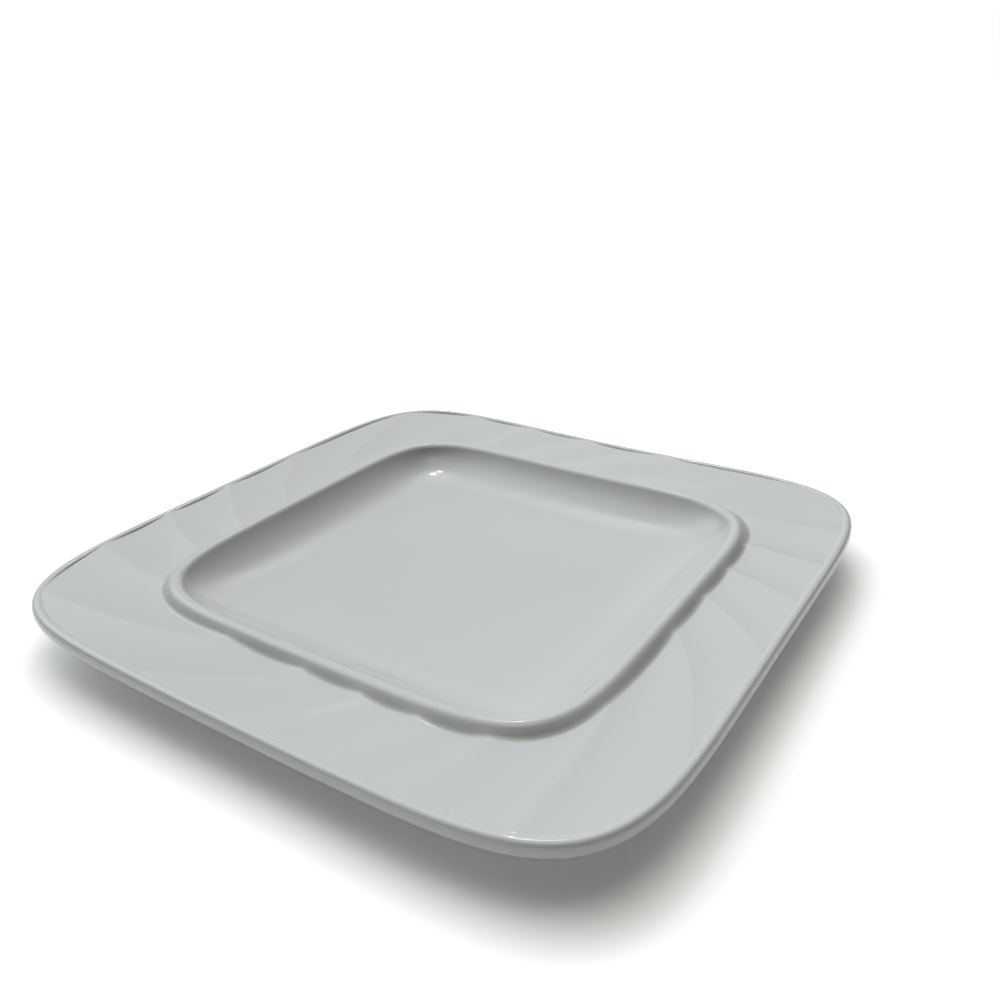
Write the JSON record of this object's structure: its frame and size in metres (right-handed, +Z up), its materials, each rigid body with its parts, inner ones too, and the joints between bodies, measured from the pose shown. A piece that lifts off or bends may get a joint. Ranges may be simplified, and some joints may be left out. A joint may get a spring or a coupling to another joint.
{
  "type": "square serving tray",
  "caption": "Square ceramic serving tray with a sunken flat well, a raised lip, a broad swirl-fluted rim and a rolled edge, for serving food.",
  "frame": {"origin": "on the table under the middle of the tray, in the plane of the pads' lower faces", "axes": "+Z up, +X and +Y square to two neighbouring sides of the tray"},
  "size_m": [0.3044, 0.3044, 0.0256],
  "materials": {
    "glaze": "glossy white glaze with a few fine specks",
    "bare_clay": "bare fired clay, matt and slightly sandy",
    "pad": "soft grey silicone"
  },
  "bodies": {
    "root": {"fluted_rim": "glaze", "well_dish": "glaze", "foot_ring": "bare_clay", "foot_pad_1": "pad", "foot_pad_2": "pad", "foot_pad_3": "pad", "foot_pad_4": "pad"}
  },
  "joints": []
}
